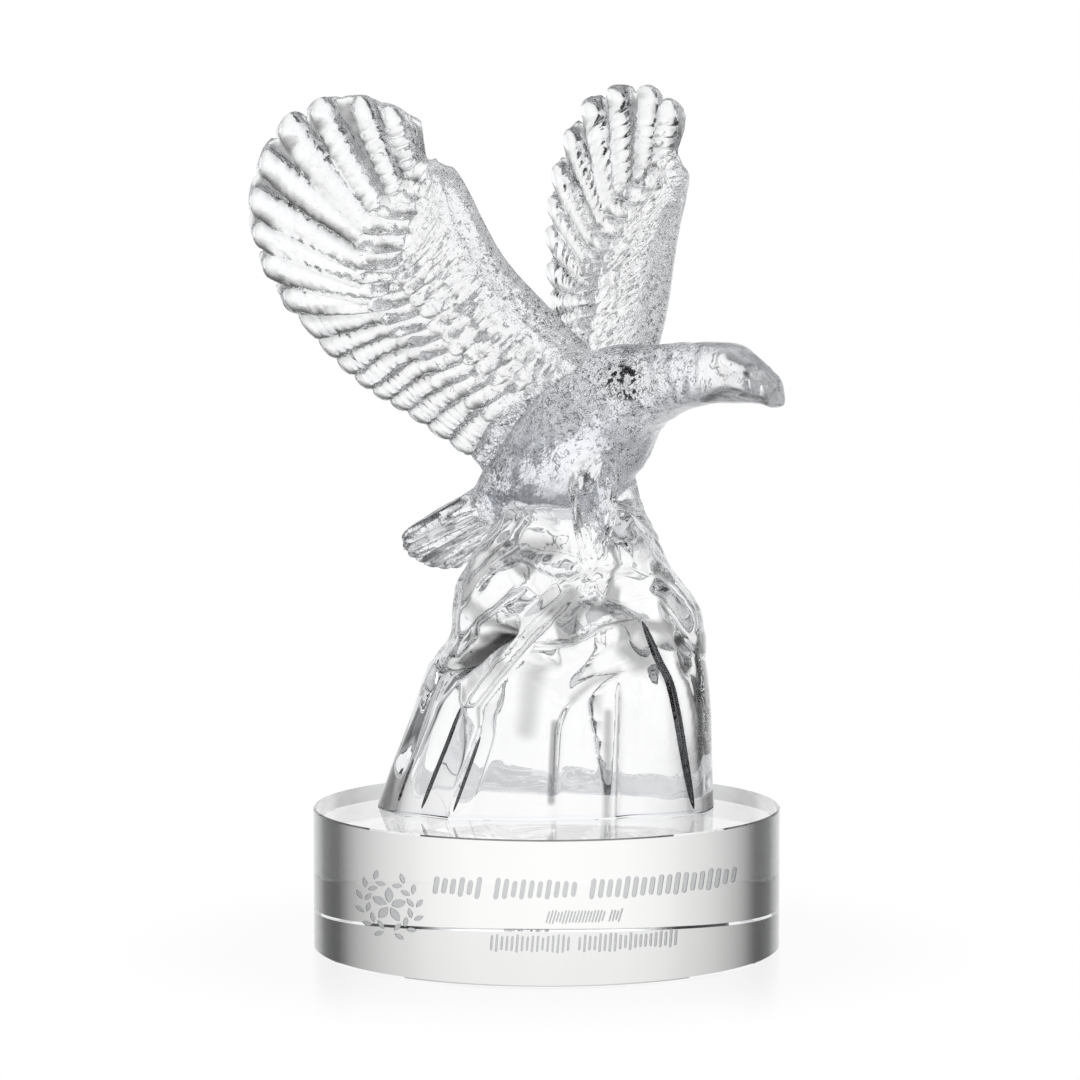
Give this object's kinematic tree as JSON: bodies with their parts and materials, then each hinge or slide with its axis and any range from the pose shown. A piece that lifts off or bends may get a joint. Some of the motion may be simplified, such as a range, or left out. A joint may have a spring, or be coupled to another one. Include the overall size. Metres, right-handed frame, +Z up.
{
  "type": "eagle award trophy",
  "caption": "Clear cast crystal eagle with raised wings taking off from a carved rock, bonded to a thick round polished base with room for an engraving.",
  "frame": {"origin": "centre of the round base's underside", "axes": "+Z up, the engraved front of the base faces -Y, and the eagle's beak points towards +X and the front"},
  "size_m": [0.1444, 0.1439, 0.236],
  "materials": {
    "cast_crystal": "clear cast crystal, polished rock and pebbled wings, finely frosted body",
    "polished_crystal": "clear optical crystal, polished all over, with frosted engraved strokes on the front"
  },
  "bodies": {
    "root": {"eagle_on_rock": "cast_crystal", "round_base": "polished_crystal"}
  },
  "joints": []
}
